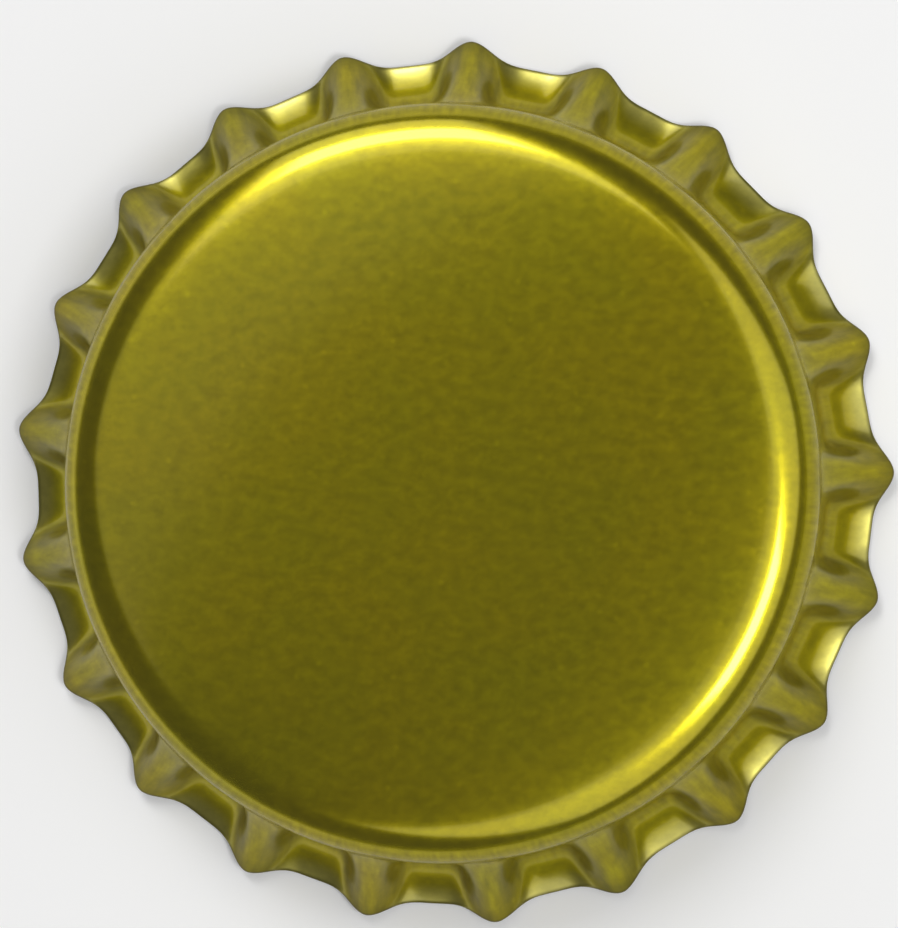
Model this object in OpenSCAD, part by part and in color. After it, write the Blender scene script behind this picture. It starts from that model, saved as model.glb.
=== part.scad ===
// Crown cap for a bottle with a 26 mm crown mouth, as it leaves the press and before it is crimped.
// The shell is one disc of lacquered tinplate, drawn into a shallow cup with a fluted skirt.
// The liner is a ring and a film of sealing compound, moulded into the shell under the panel.
// The cap lies on its skirt. The origin is the centre of the ring that it rests on, +Z goes up
// through the panel, and one crest of the skirt points along +X. All sizes are in millimetres.

/* [Shell] */
// Height from the table to the top of the panel
cap_h = 6; // [5.4:0.1:6.6]
// Thickness of the sheet in the panel and the corner
sheet_t = 0.24; // [0.2:0.01:0.28]
// Extra thickness of the sheet in the skirt, where drawing gathers the metal
gather = 0.01; // [0.01:0.005:0.03]
// Inside diameter across the valleys of the skirt, which slides over the bottle's mouth
bore_d = 26.75; // [26.3:0.05:27.2]
// Outer radius of the rolled corner between the panel and the skirt
corner_r = 1.7; // [1.4:0.1:2]

/* [Flutes] */
// Number of flutes round the skirt
flutes = 21; // [19:1:24]
// Diameter over the tips of the crests
tip_d = 32.1; // [31.6:0.1:32.6]
// Height of the tips above the table, at the outer face of the sheet
tip_h = 0.6; // [0.4:0.1:1.1]
// How strongly a crest's ridge curves outwards on its way down, where 1 is a straight ridge
ridge_curve = 1.3; // [1.1:0.05:1.6]
// Half width of a crest at its root below the corner, in degrees round the cap
root_half = 4.1; // [3.6:0.1:4.5]
// Squareness of a crest at its root, where 1 is a plain cosine ridge
root_square = 2.6; // [1.8:0.1:3]
// How late a crest widens on its way down, where 1 is an even change from root to edge
widen_late = 1.5; // [1.2:0.1:2]
// Narrowness of the crests at the edge in plan, where 1 is an even wave
plan_narrow = 2.5; // [2:0.1:2.8]
// Narrowness of the crests at the edge in height, where 1 is an even wave
rise_narrow = 2.2; // [1.8:0.1:2.6]

/* [Foot of the valleys] */
// Diameter over the edge of the skirt in the valleys
valley_d = 30.6; // [30:0.1:31]
// Radius of the turn where a valley leaves the upright wall
foot_r = 1.5; // [1.1:0.1:2]
// Angle from the upright at which that turn ends
foot_turn = 45; // [38:1:50]
// Angle from the upright at which a valley reaches the edge
edge_turn = 72; // [66:1:76]

/* [Liner] */
// Thickness of the film of compound over the middle of the panel
film_t = 0.25; // [0.15:0.05:0.35]
// Depth of the sealing ring below the underside of the panel
ring_t = 0.9; // [0.7:0.1:1.1]
// Inner radius of the sealing ring's flat land
land_in_r = 10.8; // [10.2:0.1:11.2]
// Outer radius of that land
land_out_r = 12.4; // [12:0.1:12.6]
// Width of the slopes beside the land
slope_w = 0.45; // [0.3:0.05:0.6]
// Radius of the round bead along the inner edge of the land
bead_r = 0.3; // [0.2:0.05:0.4]
// Gap left between the liner and the rolled corner of the shell
liner_gap = 0.05; // [0.03:0.01:0.1]

/* [Hidden] */

shell_colour = "#9c9120";
liner_colour = "#d8d8cf";

// Shell: radii and heights that follow from the sizes above
skirt_t = sheet_t + gather;
skirt_r = bore_d / 2 + skirt_t;
wall_r = skirt_r - gather / 2;
corner_h = cap_h - corner_r;
panel_r = wall_r - corner_r;
under_h = cap_h - sheet_t;
tip_r = tip_d / 2;
valley_r = valley_d / 2;

// Foot of a valley: the turn, then a wider arc out to the edge, whose inner corner meets the table
flare_in_r = skirt_r + foot_r * (1 - cos(foot_turn));
flare_r = (valley_r - flare_in_r) / (cos(foot_turn) - cos(edge_turn));
edge_h = skirt_t * sin(edge_turn);
flare_h = edge_h + flare_r * (sin(edge_turn) - sin(foot_turn));
foot_h = flare_h + foot_r * sin(foot_turn);

// Lengths along a valley, from the corner down to the edge, and the shares where its parts end
degree = PI / 180;
wall_len = corner_h - foot_h;
turn_len = foot_r * foot_turn * degree;
flare_len = flare_r * (edge_turn - foot_turn) * degree;
valley_len = wall_len + turn_len + flare_len;
foot_u = wall_len / valley_len;
flare_u = (wall_len + turn_len) / valley_len;

// Rings of the skirt's mesh: so many bands down the wall, round the turn and along the flare
wall_bands = 3;
turn_bands = 3;
flare_bands = 3;
ring_u = concat(
    [for (i = [0:wall_bands - 1]) foot_u * i / wall_bands],
    [for (i = [0:turn_bands - 1]) foot_u + (flare_u - foot_u) * i / turn_bands],
    [for (i = [0:flare_bands]) flare_u + (1 - flare_u) * i / flare_bands]
);

// Columns of the skirt's mesh: each half flute has so many, closest together on the crest
pitch = 360 / flutes;
half_cols = 6;
col_crowding = 1.25;
half_a = [for (i = [0:half_cols]) pitch / 2 * pow(i / half_cols, col_crowding)];
flute_a = concat(
    [for (i = [0:half_cols - 1]) half_a[i]],
    [for (i = [half_cols:-1:1]) pitch - half_a[i]]
);
col_a = [for (f = [0:flutes - 1], a = flute_a) f * pitch + a];
cols = len(col_a);

// The skirt laps a little way up inside the corner's sheet, so that the two are one solid
lap_h = 0.3;
lap_bite = 0.06;
lap_out_r = panel_r + sqrt(pow(corner_r, 2) - pow(lap_h, 2)) - lap_bite;
lap_in_r = panel_r + sqrt(pow(corner_r - sheet_t, 2) - pow(lap_h, 2)) + lap_bite;

// Small steps for measuring the slope of the skirt's outer face
step_a = 0.05;
step_u = 0.002;

curve_fn = 96;

// A valley's line on the outer face, as [radius, height], u going from 0 at the corner to 1 at the edge
function valley_line(u) =
    u < foot_u ? [skirt_r, corner_h - u * valley_len]
    : u < flare_u ? let (t = (u - foot_u) * valley_len / foot_r / degree)
        [skirt_r + foot_r * (1 - cos(t)), foot_h - foot_r * sin(t)]
    : let (t = foot_turn + (u - flare_u) * valley_len / flare_r / degree)
        [flare_in_r + flare_r * (cos(foot_turn) - cos(t)), flare_h - flare_r * (sin(t) - sin(foot_turn))];

// A crest's ridge line, in the same terms
function ridge_line(u) = [
    skirt_r + (tip_r - skirt_r) * pow(max(0, u), ridge_curve),
    corner_h - u * (corner_h - tip_h)
];

// Share of the crest at an angle from its middle: 1 on the ridge, 0 in the valley. At the root a crest
// is a narrow rib; at the edge it is a wave over the whole pitch, made narrower by a power.
function crest_share(a, u, narrow) =
    let (
        from_ridge = abs(a - pitch * round(a / pitch)),
        root = (1 + cos(180 * pow(min(1, from_ridge / root_half), root_square))) / 2,
        edge = pow((1 + cos(360 * from_ridge / pitch)) / 2, narrow),
        widened = pow(max(0, u), widen_late)
    )
    root + widened * (edge - root);

// A point of the skirt's outer face
function outer_point(a, u) =
    let (
        valley = valley_line(u),
        ridge = ridge_line(u),
        r = valley.x + crest_share(a, u, plan_narrow) * (ridge.x - valley.x),
        h = valley.y + crest_share(a, u, rise_narrow) * (ridge.y - valley.y)
    )
    [r * cos(a), r * sin(a), h];

// The point of the inner face that lies one thickness behind it, square to the sheet
function inner_point(a, u) =
    let (
        along = outer_point(a, u + step_u) - outer_point(a, u - step_u),
        round_cap = outer_point(a + step_a, u) - outer_point(a - step_a, u),
        inward = cross(round_cap, along)
    )
    outer_point(a, u) + skirt_t * inward / norm(inward);

function ring(r, h) = [for (a = col_a) [r * cos(a), r * sin(a), h]];

// Two triangles between each pair of points of two neighbouring rings
function band(upper, lower) = [
    for (i = [0:cols - 1])
        let (j = (i + 1) % cols)
        each [
            [upper * cols + i, upper * cols + j, lower * cols + j],
            [upper * cols + i, lower * cols + j, lower * cols + i]
        ]
];

// The fluted skirt: one closed loop of rings, down the outer face and back up the inner face
module skirt() {
    last = len(ring_u) - 1;
    rings = concat(
        [ring(lap_out_r, corner_h + lap_h)],
        [for (u = ring_u) [for (a = col_a) outer_point(a, u)]],
        [for (i = [last:-1:0]) [for (a = col_a) inner_point(a, ring_u[i])]],
        [ring(lap_in_r, corner_h + lap_h)]
    );
    count = len(rings);
    polyhedron(
        points = [for (r = rings, p = r) p],
        faces = [for (k = [0:count - 1]) each band(k, (k + 1) % count)],
        convexity = 10
    );
}

// Half section of a solid cup turned upside down, from the bottom of its rolled corner to its top
module cup_section(r, corner, top) {
    translate([0, corner_h])
        square([r - corner, top - corner_h]);
    intersection() {
        translate([r - corner, corner_h])
            circle(corner, $fn = curve_fn);
        translate([0, corner_h])
            square([r, corner]);
    }
}

// The flat panel and its rolled corner
module panel() {
    rotate_extrude($fn = curve_fn)
        difference() {
            cup_section(wall_r, corner_r, cap_h);
            cup_section(wall_r - sheet_t, corner_r - sheet_t, under_h);
        }
}

// One disc of tinplate: panel, rolled corner and fluted skirt
module shell() {
    color(shell_colour)
        union() {
            panel();
            skirt();
        }
}

// Sealing compound: a film under the panel, and a thicker ring that presses on the bottle's lip
module liner() {
    land_h = under_h - ring_t;
    color(liner_colour)
        rotate_extrude($fn = curve_fn)
            intersection() {
                cup_section(wall_r - sheet_t - liner_gap, corner_r - sheet_t, under_h);
                union() {
                    translate([0, under_h - film_t])
                        square([land_out_r, film_t]);
                    polygon([
                        [land_in_r - slope_w, under_h],
                        [land_in_r - slope_w, under_h - film_t],
                        [land_in_r, land_h],
                        [land_out_r, land_h],
                        [land_out_r + slope_w, land_h + slope_w],
                        [land_out_r + slope_w, under_h]
                    ]);
                    translate([land_in_r, land_h])
                        circle(bead_r, $fn = curve_fn);
                }
            }
}

shell();
liner();
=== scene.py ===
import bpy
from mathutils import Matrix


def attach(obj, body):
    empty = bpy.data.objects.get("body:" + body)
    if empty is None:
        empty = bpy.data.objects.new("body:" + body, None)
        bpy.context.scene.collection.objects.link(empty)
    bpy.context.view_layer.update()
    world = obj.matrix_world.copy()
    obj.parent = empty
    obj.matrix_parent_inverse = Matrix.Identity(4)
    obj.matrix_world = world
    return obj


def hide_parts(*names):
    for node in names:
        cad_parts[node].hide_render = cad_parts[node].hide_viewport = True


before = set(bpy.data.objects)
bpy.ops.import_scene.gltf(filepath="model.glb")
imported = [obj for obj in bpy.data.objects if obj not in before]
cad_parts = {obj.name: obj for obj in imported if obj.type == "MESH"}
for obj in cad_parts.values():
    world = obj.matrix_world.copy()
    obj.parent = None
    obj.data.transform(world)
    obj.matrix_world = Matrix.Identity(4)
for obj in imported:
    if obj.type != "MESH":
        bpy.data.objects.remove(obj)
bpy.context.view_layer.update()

import math
import random

import bmesh
import bpy
import mathutils

# ------------------------------------------------------------------------------------------------
# Shell. The real one is a disc of tinplate 0.24 mm thick, lacquered gold on one side while flat,
# then blanked and drawn in one stroke of a press into a shallow cup. The wrinkles that the draw
# would make are led into 21 even flutes, which a crimping head later closes round the bottle.
# ------------------------------------------------------------------------------------------------
MM = 0.001
FLUTES = 21
PITCH = 360 / FLUTES
CAP_H = 6.0
# Drawing gathers the sheet to this thickness in the skirt, and the whole shell takes it
SHEET_T = 0.25
SKIRT_R = 13.625
CORNER_R = 1.7
CORNER_H = CAP_H - CORNER_R
PANEL_R = SKIRT_R - CORNER_R
TIP_R = 16.05
TIP_H = 0.6
VALLEY_R = 15.3
FOOT_R = 1.5
FOOT_TURN = 45
EDGE_TURN = 72
RIDGE_CURVE = 1.3
ROOT_HALF = 4.1
ROOT_SQUARE = 2.6
WIDEN_LATE = 1.5
PLAN_NARROW = 2.5
RISE_NARROW = 2.2
# The panel is flat in the middle and falls away by this much towards the corner, as this power of
# its radius; the corner takes the fall up over its turn, as a power of the turn's cosine
PANEL_DROP = 0.18
DROP_POWER = 4
CORNER_POWER = 0.3
# Radii of the panel's rings, from its rim to the small hole in the middle that a fan closes
PANEL_RINGS = (11.5, 11.0, 10.0, 8.0, 6.0, 3.0, 1.0)
# Most that a crest leans aside, in degrees, and that it reaches too far or falls short
LEAN = 0.35
REACH = 0.05
EDGE_ROUND = 0.03

# Rings of the sheet round the corner, down the wall, round the valley's foot and out to the edge
CORNER_STEPS = 9
WALL_STEPS = 8
TURN_STEPS = 5
FLARE_STEPS = 6
# Columns of the sheet in half a flute, crowded towards the crest
HALF_COLS = 8
CROWDING = 1.25
# Points closer than this are one point, and a column is known by its angle to within this much
MERGE = 0.002
ANGLE_SLACK = 0.02


def cosd(degrees):
    return math.cos(math.radians(degrees))


def sind(degrees):
    return math.sin(math.radians(degrees))


def only(piece):
    """Selects this piece and nothing else."""
    bpy.ops.object.select_all(action="DESELECT")
    piece.select_set(True)
    bpy.context.view_layer.objects.active = piece


def pick(piece, test):
    """In edit mode, selects the vertices whose place passes the test, and nothing else."""
    bpy.ops.mesh.select_mode(type="VERT")
    bpy.ops.mesh.select_all(action="DESELECT")
    grid = bmesh.from_edit_mesh(piece.data)
    for vertex in grid.verts:
        if test(vertex.co):
            vertex.select_set(True)
    grid.select_flush_mode()
    bmesh.update_edit_mesh(piece.data)


def to_ring(old, new):
    """Takes what is selected from one [radius, height] about the axis to another."""
    grow = new[0] / old[0]
    bpy.ops.transform.resize(value=(grow, grow, 1), center_override=(0, 0, 0))
    bpy.ops.transform.translate(value=(0, 0, (new[1] - old[1]) * MM))


# Half sections of a valley and of a crest's ridge, share going from 0 at the corner to 1 at the
# edge: a valley is an upright wall, a turn at its foot and a wider arc out to the edge
flare_in_r = SKIRT_R + FOOT_R * (1 - cosd(FOOT_TURN))
flare_r = (VALLEY_R - flare_in_r) / (cosd(FOOT_TURN) - cosd(EDGE_TURN))
flare_h = SHEET_T * sind(EDGE_TURN) + flare_r * (sind(EDGE_TURN) - sind(FOOT_TURN))
foot_h = flare_h + FOOT_R * sind(FOOT_TURN)
wall_len = CORNER_H - foot_h
turn_len = FOOT_R * math.radians(FOOT_TURN)
flare_len = flare_r * math.radians(EDGE_TURN - FOOT_TURN)
valley_len = wall_len + turn_len + flare_len


def valley_line(share):
    """Where a valley lies at this share of its length, as [radius, height]."""
    down = share * valley_len
    if down < wall_len:
        return SKIRT_R, CORNER_H - down
    if down < wall_len + turn_len:
        turn = math.degrees((down - wall_len) / FOOT_R)
        return SKIRT_R + FOOT_R * (1 - cosd(turn)), foot_h - FOOT_R * sind(turn)
    turn = FOOT_TURN + math.degrees((down - wall_len - turn_len) / flare_r)
    return (flare_in_r + flare_r * (cosd(FOOT_TURN) - cosd(turn)),
            flare_h - flare_r * (sind(turn) - sind(FOOT_TURN)))


def crest_share(angle, share, narrow):
    """Share of the crest at so many degrees from its middle: 1 on the ridge, 0 in the valley."""
    root = (1 + cosd(180 * min(1, abs(angle) / ROOT_HALF) ** ROOT_SQUARE)) / 2
    wave = ((1 + cosd(360 * angle / PITCH)) / 2) ** narrow
    return root + share ** WIDEN_LATE * (wave - root)


def flute_line(angle, share):
    """Where the sheet lies at so many degrees from a crest's middle, as [radius, height]."""
    valley_r, valley_h = valley_line(share)
    ridge_r = SKIRT_R + (TIP_R - SKIRT_R) * share ** RIDGE_CURVE
    ridge_h = CORNER_H - share * (CORNER_H - TIP_H)
    return (valley_r + crest_share(angle, share, PLAN_NARROW) * (ridge_r - valley_r),
            valley_h + crest_share(angle, share, RISE_NARROW) * (ridge_h - valley_h))


def corner_drop(turn):
    """How much lower the corner lies at so many degrees of its turn, as the panel falls to it."""
    return PANEL_DROP * cosd(min(turn, 90)) ** CORNER_POWER


# One flute's arc of the panel's rim: a ring cut down to one pitch, its columns crowded inwards
bpy.ops.object.select_all(action="DESELECT")
bpy.ops.mesh.primitive_circle_add(vertices=FLUTES * 2 * HALF_COLS, radius=PANEL_R * MM,
                                  fill_type="NOTHING", location=(0, 0, CAP_H * MM))
shell = bpy.context.object
shell.name = shell.data.name = "crown_shell"
bpy.ops.object.transform_apply(location=True)
bpy.ops.object.mode_set(mode="EDIT")
even = PITCH / 2 / HALF_COLS
columns = [PITCH / 2 * (i / HALF_COLS) ** CROWDING for i in range(HALF_COLS + 1)]


def angle_of(point):
    return math.degrees(math.atan2(point.y, point.x))


pick(shell, lambda co: abs(angle_of(co)) > PITCH / 2 + even / 2)
bpy.ops.mesh.delete(type="VERT")
for side in (-1, 1):
    for i in range(1, HALF_COLS):
        pick(shell, lambda co: abs(angle_of(co) - side * i * even) < even / 4)
        bpy.ops.transform.rotate(value=-math.radians(side * (columns[i] - i * even)),
                                 orient_axis="Z", center_override=(0, 0, 0))

# The rolled corner, extruded ring by ring from the panel's rim to the top of the wall
ring = (PANEL_R, CAP_H)
bpy.ops.mesh.select_all(action="SELECT")
first_turn = math.degrees(math.atan(DROP_POWER * PANEL_DROP / PANEL_R))
for i in range(CORNER_STEPS + 1):
    turn = first_turn + (90 - first_turn) * i / CORNER_STEPS
    lower = (PANEL_R + CORNER_R * sind(turn),
             CORNER_H + CORNER_R * cosd(turn) - corner_drop(turn))
    if i:
        bpy.ops.mesh.extrude_region_move()
    to_ring(ring, lower)
    ring = lower

# The fluted skirt, extruded on downwards, each pair of columns pulled out to its own line
shares = [wall_len * i / WALL_STEPS / valley_len
          for i in range(1, WALL_STEPS + 1)]
shares += [(wall_len + turn_len * i / TURN_STEPS) / valley_len
           for i in range(1, TURN_STEPS + 1)]
shares += [(wall_len + turn_len + flare_len * i / FLARE_STEPS) / valley_len
           for i in range(1, FLARE_STEPS + 1)]
last = [ring] * (HALF_COLS + 1)
for share in shares:
    bpy.ops.mesh.extrude_region_move()
    grid = bmesh.from_edit_mesh(shell.data)
    fresh = [v.index for v in grid.verts if v.select]
    for i, column in enumerate(columns):
        bpy.ops.mesh.select_all(action="DESELECT")
        grid = bmesh.from_edit_mesh(shell.data)
        grid.verts.ensure_lookup_table()
        for index in fresh:
            vertex = grid.verts[index]
            if abs(abs(angle_of(vertex.co)) - column) < ANGLE_SLACK:
                vertex.select_set(True)
        grid.select_flush_mode()
        target = flute_line(column, share)
        to_ring(last[i], target)
        last[i] = target
    grid = bmesh.from_edit_mesh(shell.data)
    grid.verts.ensure_lookup_table()
    bpy.ops.mesh.select_all(action="DESELECT")
    for index in fresh:
        grid.verts[index].select_set(True)
    grid.select_flush_mode()

# The last ring is the cut edge: it is marked 1, to fade away over the ring before it
grid = bmesh.from_edit_mesh(shell.data)
cut = grid.verts.layers.float.new("edge")
for vertex in grid.verts:
    vertex[cut] = 1.0 if vertex.select else 0.0
bmesh.update_edit_mesh(shell.data)

# The other twenty flutes, spun round the axis from the first
bpy.ops.mesh.select_all(action="SELECT")
bpy.ops.mesh.spin(steps=FLUTES, dupli=True, angle=2 * math.pi,
                  center=(0, 0, 0), axis=(0, 0, 1))
bpy.ops.mesh.select_all(action="SELECT")
bpy.ops.mesh.remove_doubles(threshold=MERGE * MM)

# The panel grows inwards from its rim in rings, each a little higher than the last
rim_r = PANEL_R + CORNER_R * sind(first_turn)
rim_h = CORNER_H + CORNER_R * cosd(first_turn) - corner_drop(first_turn)
pick(shell, lambda co: co.z > (rim_h - 0.001) * MM)
ring = (rim_r, rim_h)
for radius in PANEL_RINGS:
    inner = (radius, CAP_H - PANEL_DROP * (radius / rim_r) ** DROP_POWER)
    bpy.ops.mesh.extrude_region_move()
    to_ring(ring, inner)
    ring = inner
bpy.ops.mesh.select_all(action="SELECT")
bpy.ops.mesh.normals_make_consistent(inside=False)
bpy.ops.object.mode_set(mode="OBJECT")
smooth = shell.modifiers.new("smooth", "SUBSURF")
smooth.levels = smooth.render_levels = 1
bpy.ops.object.modifier_apply(modifier="smooth")

# The middle of the panel is closed with a fan, once the sheet is smooth
bpy.ops.object.mode_set(mode="EDIT")
pick(shell, lambda co: math.hypot(co.x, co.y) < 1.05 * PANEL_RINGS[-1] * MM)
bpy.ops.mesh.extrude_region_move()
bpy.ops.mesh.merge(type="CENTER")
bpy.ops.mesh.select_all(action="SELECT")
bpy.ops.mesh.normals_make_consistent(inside=False)
bpy.ops.object.mode_set(mode="OBJECT")

# Sheet metal never draws quite evenly: each crest ends a little to one side, longer or shorter
random.seed(21)
lean = [random.uniform(-LEAN, LEAN) for _ in range(FLUTES)]
reach = [random.uniform(-REACH, REACH) for _ in range(FLUTES)]
for vertex in shell.data.vertices:
    co = vertex.co
    if co.z < CORNER_H * MM:
        angle = angle_of(co)
        nearest = round(angle / PITCH)
        near = (1 + cosd(360 * (angle / PITCH - nearest))) / 2
        down = (1 - co.z / (CORNER_H * MM)) ** 2 * near
        turn = math.radians(angle + lean[nearest % FLUTES] * down)
        radius = math.hypot(co.x, co.y) + reach[nearest % FLUTES] * MM * down
        co.x, co.y = radius * math.cos(turn), radius * math.sin(turn)

# The sheet gets its thickness inwards; the blanking tool leaves a small round along the cut edge.
# The faces outside, inside and along the cut each need a slot before their materials exist.
only(shell)
for _ in ("outside", "inside", "cut edge"):
    shell.data.materials.append(None)
thick = shell.modifiers.new("thickness", "SOLIDIFY")
thick.thickness = SHEET_T * MM
thick.offset = -1
thick.use_even_offset = True
thick.material_offset = 1
thick.material_offset_rim = 2
edge = shell.modifiers.new("cut_edge", "BEVEL")
edge.width = EDGE_ROUND * MM
edge.segments = 2
edge.limit_method = "ANGLE"
edge.angle_limit = math.radians(55)
for name in ("thickness", "cut_edge"):
    bpy.ops.object.modifier_apply(modifier=name)
bpy.ops.object.shade_smooth_by_angle(angle=math.radians(50))

# The steep walls are what the drawing ring rubs: the first mark is 1 there, and 0 on the panel
# and the valleys' feet. It dulls the lacquer and the metal there, and it also darkens their colour
# as painted shade. The second is 1 on the flanks of the crests, which face along the skirt, and
# darkens them as painted shade.
rub_and_shade_mark = shell.data.attributes.new("rub_and_shade_mark", "FLOAT", "POINT")
flank = shell.data.attributes.new("flank", "FLOAT", "POINT")
for vertex in shell.data.vertices:
    co, normal = vertex.co, vertex.normal
    steep = min(1, max(0, (0.82 - abs(normal.z)) / 0.24))
    rub_and_shade_mark.data[vertex.index].value = steep * steep * (3 - 2 * steep)
    sideways = abs(normal.y * co.x - normal.x * co.y) / math.hypot(co.x, co.y, 1e-9)
    aside = min(1, max(0, (sideways - 0.3) / 0.4))
    flank.data[vertex.index].value = aside * aside * (3 - 2 * aside)


def linear(code):
    """An sRGB hex colour as the linear one that the shader takes."""
    parts = [int(code[i:i + 2], 16) / 255 for i in (1, 3, 5)]
    return [p / 12.92 if p <= 0.04045 else ((p + 0.055) / 1.055) ** 2.4 for p in parts] + [1.0]


def finish_named(name):
    """A new empty material, and its tree of nodes."""
    material = bpy.data.materials.new(name)
    material.use_nodes = True
    material.node_tree.nodes.clear()
    return material, material.node_tree


def node(tree, kind, settings=(), links=()):
    """Adds a node with its settings; each input takes a value or another node's output."""
    made = tree.nodes.new(kind)
    for key, value in dict(settings).items():
        setattr(made, key, value)
    for socket, value in dict(links).items():
        if isinstance(value, bpy.types.NodeSocket):
            tree.links.new(value, made.inputs[socket])
        else:
            made.inputs[socket].default_value = value
    return made


def product(tree, first, second):
    """The product of two node outputs."""
    return node(tree, "ShaderNodeMath", {"operation": "MULTIPLY"},
                {0: first, 1: second}).outputs[0]


# The grain of the rolled tin runs at this angle, in degrees
ROLLING = -165

# Gold lacquer on tinplate: a transparent yellow epoxy-phenolic coat, rolled on and stoved, about
# 6 microns thick. The eye sees bright tin coloured by the lacquer, under its own clear gloss.
gold, tree = finish_named("gold_lacquer_on_tinplate")
place = node(tree, "ShaderNodeTexCoord").outputs["Object"]
# The steep walls' mark: it dulls the lacquer and the metal, and darkens the colour as painted shade
rub_and_shade = node(tree, "ShaderNodeAttribute", {"attribute_name": "rub_and_shade_mark"}).outputs["Fac"]
# Clouds where the lacquer lies thicker or thinner, 6 mm across: amber against a greener yellow
cloud = node(tree, "ShaderNodeTexNoise", links={
    "Vector": place, "Scale": 1 / (6.0 * MM), "Detail": 3.0, "Roughness": 0.55}).outputs["Fac"]
thick_or_thin = node(tree, "ShaderNodeMapRange", links={
    "Value": cloud, "From Min": 0.35, "From Max": 0.65, "To Min": 0.0, "To Max": 1.0}).outputs[0]
tint = node(tree, "ShaderNodeMix", {"data_type": "RGBA"}, {
    "Factor": thick_or_thin, 6: linear("#c9b805"), 7: linear("#c0b507")}).outputs[2]
# Below 0.65 mm, at the edge of the valleys, the lacquer is drawn thin and the tin shows paler
axes = node(tree, "ShaderNodeSeparateXYZ", links={"Vector": place}).outputs
drawn_thin = node(tree, "ShaderNodeMapRange", {"interpolation_type": "SMOOTHSTEP"}, {
    "Value": axes["Z"], "From Min": 0.3 * MM, "From Max": 0.65 * MM,
    "To Min": 1.0, "To Max": 0.0}).outputs[0]
tint = node(tree, "ShaderNodeMix", {"data_type": "RGBA"}, {
    "Factor": drawn_thin, 6: tint, 7: linear("#c9c05c")}).outputs[2]
# Mottle of the rolled tin under the lacquer, 0.4 mm across and a little longer along the rolling
rolled = node(tree, "ShaderNodeMapping", links={
    "Vector": place, "Rotation": (0, 0, math.radians(ROLLING)),
    "Scale": (0.75, 1.0, 1.0)}).outputs[0]
mottle = node(tree, "ShaderNodeTexNoise", links={
    "Vector": rolled, "Scale": 1 / (0.4 * MM), "Detail": 2.0, "Roughness": 0.6}).outputs["Fac"]
shade = node(tree, "ShaderNodeMapRange", {"clamp": False}, {
    "Value": mottle, "From Min": 0.25, "From Max": 0.75, "To Min": 0.88, "To Max": 1.11}).outputs[0]
# Pale flecks, 0.2 mm across, where the lacquer pulled back over a grain of dust: one to a square mm
cells = node(tree, "ShaderNodeTexVoronoi", links={
    "Vector": place, "Scale": 1 / (1.0 * MM), "Randomness": 1.0})
fleck = node(tree, "ShaderNodeMapRange", {"interpolation_type": "SMOOTHSTEP"}, {
    "Value": cells.outputs["Distance"], "From Min": 0.02, "From Max": 0.17,
    "To Min": 0.16, "To Max": 0.0}).outputs[0]
shade = node(tree, "ShaderNodeMath", {"operation": "ADD"}, {0: shade, 1: fleck}).outputs[0]
# Scores that the drawing ring left down the skirt, 0.25 mm apart at a radius of 14.5 mm, 1 mm long
heading = node(tree, "ShaderNodeMath", {"operation": "ARCTAN2"},
               {0: axes["Y"], 1: axes["X"]}).outputs[0]
around = product(tree, heading, 14.5 / 0.25)
down = node(tree, "ShaderNodeMath", {"operation": "DIVIDE"},
            {0: axes["Z"], 1: 1.0 * MM}).outputs[0]
along = node(tree, "ShaderNodeCombineXYZ", links={"X": around, "Y": down}).outputs[0]
score = node(tree, "ShaderNodeTexNoise", links={
    "Vector": along, "Scale": 1.0, "Detail": 2.0, "Roughness": 0.5}).outputs["Fac"]
# The scores are wear, but the darkening they carry on the steep walls, to 0.43 to 0.65 of the
# panel's colour, is painted shade
wear_and_shade = node(tree, "ShaderNodeMapRange", {"clamp": False}, {
    "Value": score, "From Min": 0.3, "From Max": 0.7, "To Min": 0.43, "To Max": 0.65}).outputs[0]
wear_and_shade = node(tree, "ShaderNodeMix", {"data_type": "FLOAT"}, {
    "Factor": rub_and_shade, 2: 1.0, 3: wear_and_shade}).outputs[0]
# Darker towards the tips: the colour falls to 0.55 from a radius of 15.35 mm out to their ends
radius = node(tree, "ShaderNodeVectorMath", {"operation": "LENGTH"}, {0: place}).outputs["Value"]
tip = node(tree, "ShaderNodeMapRange", {"interpolation_type": "SMOOTHSTEP"}, {
    "Value": radius, "From Min": 15.35 * MM, "From Max": TIP_R * MM,
    "To Min": 1.0, "To Max": 0.55}).outputs[0]
wear_and_shade = product(tree, wear_and_shade, tip)
# Painted shade: the flanks of the crests are darkened to 0.68, which leaves the ridges lighter
aside = node(tree, "ShaderNodeAttribute", {"attribute_name": "flank"}).outputs["Fac"]
flank_shade = node(tree, "ShaderNodeMapRange", links={
    "Value": aside, "To Min": 1.0, "To Max": 0.68}).outputs[0]
wear_and_shade = product(tree, wear_and_shade, flank_shade)
# The last ring of the sheet is darker, down to half its colour at the cut
cut = node(tree, "ShaderNodeAttribute", {"attribute_name": "edge"}).outputs["Fac"]
darker_at_cut = node(tree, "ShaderNodeMapRange", {"interpolation_type": "SMOOTHSTEP"}, {
    "Value": cut, "From Min": 0.25, "From Max": 0.95, "To Min": 1.0, "To Max": 0.5}).outputs[0]
wear_and_shade = product(tree, wear_and_shade, darker_at_cut)
shade = product(tree, shade, wear_and_shade)
colour = node(tree, "ShaderNodeVectorMath", {"operation": "SCALE"},
              {0: tint, "Scale": shade}).outputs[0]
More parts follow.
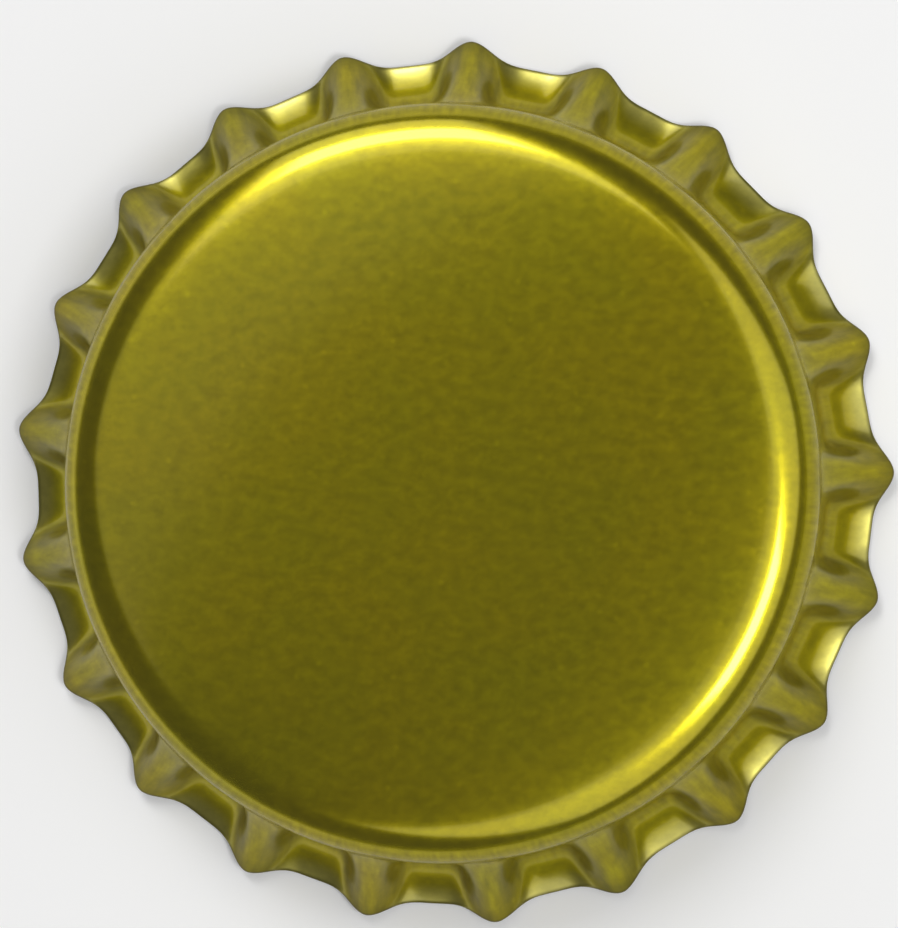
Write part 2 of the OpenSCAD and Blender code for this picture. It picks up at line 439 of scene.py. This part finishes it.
# Satin panel; the drawing ring stretches and dulls the skirt below the corner
satin = node(tree, "ShaderNodeMapRange", links={
    "Value": axes["Z"], "From Min": 3.6 * MM, "From Max": 4.8 * MM,
    "To Min": 0.3, "To Max": 0.2}).outputs[0]
gloss = node(tree, "ShaderNodeMath", {"operation": "MULTIPLY_ADD"}, {
    0: mottle, 1: 0.03, 2: satin}).outputs[0]
lacquer = node(tree, "ShaderNodeMapRange", links={
    "Value": rub_and_shade, "To Min": 1.0, "To Max": 0.12}).outputs[0]
bright = node(tree, "ShaderNodeMapRange", links={
    "Value": rub_and_shade, "To Min": 1.0, "To Max": 0.45}).outputs[0]
shader = node(tree, "ShaderNodeBsdfPrincipled", links={
    "Base Color": colour, "Metallic": bright, "Roughness": gloss,
    "Specular Tint": (0.75, 0.68, 0.25, 1), "Specular IOR Level": 0.4,
    "Coat Weight": lacquer, "Coat Roughness": 0.12, "Coat IOR": 1.5})
node(tree, "ShaderNodeOutputMaterial", links={"Surface": shader.outputs["BSDF"]})

# Inside: the same rolled tin under a clear lacquer, silver-grey, with a faint grain along it
tin, tree = finish_named("clear_lacquered_tin")
place = node(tree, "ShaderNodeTexCoord").outputs["Object"]
rolled = node(tree, "ShaderNodeMapping", links={
    "Vector": place, "Rotation": (0, 0, math.radians(ROLLING)),
    "Scale": (0.2, 1.0, 1.0)}).outputs[0]
grain = node(tree, "ShaderNodeTexNoise", links={
    "Vector": rolled, "Scale": 1 / (0.3 * MM), "Detail": 2.0, "Roughness": 0.6}).outputs["Fac"]
silver = node(tree, "ShaderNodeMix", {"data_type": "RGBA"}, {
    "Factor": grain, 6: linear("#bdbbb3"), 7: linear("#d3d1cb")}).outputs[2]
gloss = node(tree, "ShaderNodeMapRange", links={
    "Value": grain, "From Min": 0.3, "From Max": 0.7, "To Min": 0.26, "To Max": 0.34}).outputs[0]
shader = node(tree, "ShaderNodeBsdfPrincipled", links={
    "Base Color": silver, "Metallic": 1.0, "Roughness": gloss})
node(tree, "ShaderNodeOutputMaterial", links={"Surface": shader.outputs["BSDF"]})

# Cut edge: bare steel between two skins of tin, smooth where it was sheared, torn where it broke
steel, tree = finish_named("raw_cut_steel")
place = node(tree, "ShaderNodeTexCoord").outputs["Object"]
torn = node(tree, "ShaderNodeTexNoise", links={
    "Vector": place, "Scale": 1 / (0.12 * MM), "Detail": 3.0, "Roughness": 0.6}).outputs["Fac"]
grey = node(tree, "ShaderNodeMix", {"data_type": "RGBA"}, {
    "Factor": torn, 6: linear("#6f6e67"), 7: linear("#a9a8a1")}).outputs[2]
gloss = node(tree, "ShaderNodeMapRange", links={
    "Value": torn, "From Min": 0.3, "From Max": 0.7, "To Min": 0.55, "To Max": 0.35}).outputs[0]
shader = node(tree, "ShaderNodeBsdfPrincipled", links={
    "Base Color": grey, "Metallic": 1.0, "Roughness": gloss})
node(tree, "ShaderNodeOutputMaterial", links={"Surface": shader.outputs["BSDF"]})
for i, material in enumerate((gold, tin, steel)):
    shell.data.materials[i] = material
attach(shell, "root")
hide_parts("shell")

# ------------------------------------------------------------------------------------------------
# Liner. A pellet of soft sealing compound is dropped into the upturned shell and pressed hot into
# a thin film with a thicker ring round it, which sinks on to the bottle's lip at crimping.
# ------------------------------------------------------------------------------------------------
LINER_SIDES = 128
UNDER_H = CAP_H - SHEET_T
FILM_T = 0.25
RING_T = 0.9
FILM_H = UNDER_H - FILM_T
LAND_H = UNDER_H - RING_T
LAND_IN_R = 10.8
LAND_OUT_R = 12.4
SLOPE_W = 0.45
BEAD_R = 0.3
LINER_GAP = 0.05
LINER_OUT_R = SKIRT_R - SHEET_T - LINER_GAP
LINER_CORNER_R = CORNER_R - SHEET_T

# The punch that presses the film leaves two fine rings on it, of this height and half width
MARK_H = 0.03
MARK_W = 0.15
MARK_RADII = (3.35, 8.75)

# Half section from the middle of the film outwards, then back along the face against the shell
profile = [(1.0, FILM_H)]
for mark_r, beyond_r in zip(MARK_RADII, (6.0, 10.1)):
    profile += [(mark_r - MARK_W, FILM_H), (mark_r, FILM_H - MARK_H),
                (mark_r + MARK_W, FILM_H), (beyond_r, FILM_H)]
profile.append((LAND_IN_R - SLOPE_W, FILM_H - 0.02))
for turn in range(170, 361, 19):
    profile.append((LAND_IN_R + BEAD_R * cosd(turn), LAND_H + BEAD_R * sind(turn)))
profile += [(LAND_IN_R + BEAD_R + 0.05, LAND_H), (LAND_OUT_R - 0.05, LAND_H),
            (LAND_OUT_R + 0.05, LAND_H + 0.03),
            (LAND_OUT_R + SLOPE_W - 0.06, LAND_H + SLOPE_W - 0.08)]
corner_out = LINER_OUT_R - LINER_CORNER_R
for turn in range(15, 91, 15):
    profile.append((corner_out + LINER_CORNER_R * cosd(turn),
                    CORNER_H + LINER_CORNER_R * sind(turn) - corner_drop(90 - turn)))
for radius in (11.0, 9.0, 7.0, 4.0, 1.0):
    profile.append((radius, UNDER_H - PANEL_DROP * (radius / rim_r) ** DROP_POWER))

bpy.ops.object.select_all(action="DESELECT")
bpy.ops.mesh.primitive_circle_add(vertices=LINER_SIDES, radius=profile[0][0] * MM,
                                  fill_type="NOTHING", location=(0, 0, profile[0][1] * MM))
liner = bpy.context.object
liner.name = liner.data.name = "moulded_liner"
bpy.ops.object.transform_apply(location=True)
bpy.ops.object.mode_set(mode="EDIT")
bpy.ops.mesh.select_all(action="SELECT")
for old, new in zip(profile, profile[1:]):
    bpy.ops.mesh.extrude_region_move()
    to_ring(old, new)
bpy.ops.mesh.extrude_region_move()
bpy.ops.mesh.merge(type="CENTER")
pick(liner, lambda co: math.hypot(co.x, co.y) < 1.01 * MM and co.z < (FILM_H + 0.01) * MM)
bpy.ops.mesh.extrude_region_move()
bpy.ops.mesh.merge(type="CENTER")
bpy.ops.mesh.select_all(action="SELECT")
bpy.ops.mesh.remove_doubles(threshold=MERGE * MM)
bpy.ops.mesh.normals_make_consistent(inside=False)
bpy.ops.object.mode_set(mode="OBJECT")
only(liner)
bpy.ops.object.shade_smooth_by_angle(angle=math.radians(50))

# Soft sealing compound: pressed while hot, so it is smooth, faintly greasy, a little see-through
compound, tree = finish_named("moulded_sealing_compound")
place = node(tree, "ShaderNodeTexCoord").outputs["Object"]
cloud = node(tree, "ShaderNodeTexNoise", links={
    "Vector": place, "Scale": 1 / (1.5 * MM), "Detail": 3.0, "Roughness": 0.55}).outputs["Fac"]
milk = node(tree, "ShaderNodeMix", {"data_type": "RGBA"}, {
    "Factor": cloud, 6: linear("#dcdcd4"), 7: linear("#cfcfc5")}).outputs[2]
skin = node(tree, "ShaderNodeTexNoise", links={
    "Vector": place, "Scale": 1 / (0.15 * MM), "Detail": 2.0}).outputs["Fac"]
gloss = node(tree, "ShaderNodeMapRange", links={
    "Value": skin, "To Min": 0.34, "To Max": 0.46}).outputs[0]
relief = node(tree, "ShaderNodeBump", links={
    "Height": skin, "Strength": 0.25, "Distance": 0.01 * MM}).outputs[0]
shader = node(tree, "ShaderNodeBsdfPrincipled", links={
    "Base Color": milk, "Roughness": gloss, "IOR": 1.5, "Normal": relief,
    "Subsurface Weight": 0.2, "Subsurface Radius": (1.0, 0.95, 0.85), "Subsurface Scale": 0.3 * MM})
node(tree, "ShaderNodeOutputMaterial", links={"Surface": shader.outputs["BSDF"]})
liner.data.materials.append(compound)
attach(liner, "root")
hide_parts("liner")

# ------------------------------------------------------------------------------------------------
# Floor, lights and camera. The cap lies on a white table, painted greyer away from it as a painted
# pool of light, between two soft boxes, one behind it and one to its right and front. The camera
# looks almost straight down from 26 cm.
# ------------------------------------------------------------------------------------------------
bpy.ops.object.select_all(action="DESELECT")
bpy.ops.mesh.primitive_plane_add(size=1.6, location=(0, 0, 0))
floor = bpy.context.object
floor.name = "floor"
white, tree = finish_named("white_table")
place = node(tree, "ShaderNodeTexCoord").outputs["Object"]
away = node(tree, "ShaderNodeVectorMath", {"operation": "LENGTH"}, {0: place}).outputs["Value"]
# Painted pool of light: the table is white round the cap and painted greyer from 23 mm out to 110
# mm
fall = node(tree, "ShaderNodeMapRange", {"interpolation_type": "SMOOTHSTEP"}, {
    "Value": away, "From Min": 23 * MM, "From Max": 110 * MM,
    "To Min": 1.0, "To Max": 0.55}).outputs[0]
paint = node(tree, "ShaderNodeVectorMath", {"operation": "SCALE"},
             {0: (0.93, 0.93, 0.93), "Scale": fall}).outputs[0]
diffuse = node(tree, "ShaderNodeBsdfDiffuse", links={"Color": paint})
node(tree, "ShaderNodeOutputMaterial", links={"Surface": diffuse.outputs[0]})
floor.data.materials.append(white)

world = bpy.data.worlds.new("studio")
bpy.context.scene.world = world
world.use_nodes = True
world.node_tree.nodes["Background"].inputs["Color"].default_value = (0.12, 0.12, 0.12, 1)

# Metres from the cap to every lamp
LAMP_DISTANCE = 0.5


def softbox(name, azimuth, zenith, width, height, radiance):
    """A soft box LAMP_DISTANCE from the cap, at a heading and an angle from overhead in degrees.
    Its size is a share of that distance."""
    lamp = bpy.data.lights.new(name, "AREA")
    lamp.shape = "RECTANGLE"
    lamp.size, lamp.size_y = width * LAMP_DISTANCE, height * LAMP_DISTANCE
    lamp.energy = math.pi * radiance * lamp.size * lamp.size_y
    box = bpy.data.objects.new(name, lamp)
    bpy.context.scene.collection.objects.link(box)
    stand = mathutils.Vector((sind(zenith) * cosd(azimuth), sind(zenith) * sind(azimuth),
                              cosd(zenith)))
    box.location = stand * LAMP_DISTANCE
    box.rotation_euler = stand.to_track_quat("Z", "Y").to_euler()


# Each soft box has a bright middle and a wide dim border, so it is a small strong lamp and a large
# weak one. The cap's panel mirrors what is above it, which is a dim ceiling behind and to the left.
# These are the headings of the two boxes, where the bright arcs on the rolled corner lie.
BEHIND = 105
BESIDE = 330
softbox("softbox_back", BEHIND, 40, 0.4, 0.4, 5.5)
softbox("softbox_back_border", BEHIND, 45, 0.6, 1.2, 1.1)
softbox("softbox_front", BESIDE, 30, 0.3, 0.3, 10.0)
softbox("softbox_front_border", BESIDE, 35, 2.0, 1.1, 0.7)
softbox("softbox_overhead", 135, 20, 0.8, 0.4, 0.25)

# Width of the view at the table and height of the camera, in millimetres; its tilts from upright
# and its roll, in degrees; and the point of the table that it looks at, beside the cap's middle
VIEW_W = 32.69
CAMERA_H = 260
TILT_X = 6.4
TILT_Y = -0.5
ROLL = -1.64
AIM = (-0.165, 0.716, 0.0)
SENSOR_W = 36

camera = bpy.data.objects.new("camera", bpy.data.cameras.new("camera"))
bpy.context.scene.collection.objects.link(camera)
bpy.context.scene.camera = camera
camera.data.sensor_fit = "HORIZONTAL"
camera.data.sensor_width = SENSOR_W
camera.data.lens = SENSOR_W * CAMERA_H / VIEW_W
away = mathutils.Vector((math.tan(math.radians(TILT_X)), math.tan(math.radians(TILT_Y)), 1))
away.normalize()
aim = mathutils.Vector(AIM) * MM
camera.location = aim + away * CAMERA_H * MM
right = mathutils.Vector((cosd(ROLL), sind(ROLL), 0))
right = (right - away * right.dot(away)).normalized()
up = away.cross(right)
camera.matrix_world = mathutils.Matrix((
    (right.x, up.x, away.x, camera.location.x),
    (right.y, up.y, away.y, camera.location.y),
    (right.z, up.z, away.z, camera.location.z),
    (0, 0, 0, 1)))
camera.data.clip_start = 0.01
camera.data.clip_end = 10
bpy.context.scene.view_settings.view_transform = "Standard"
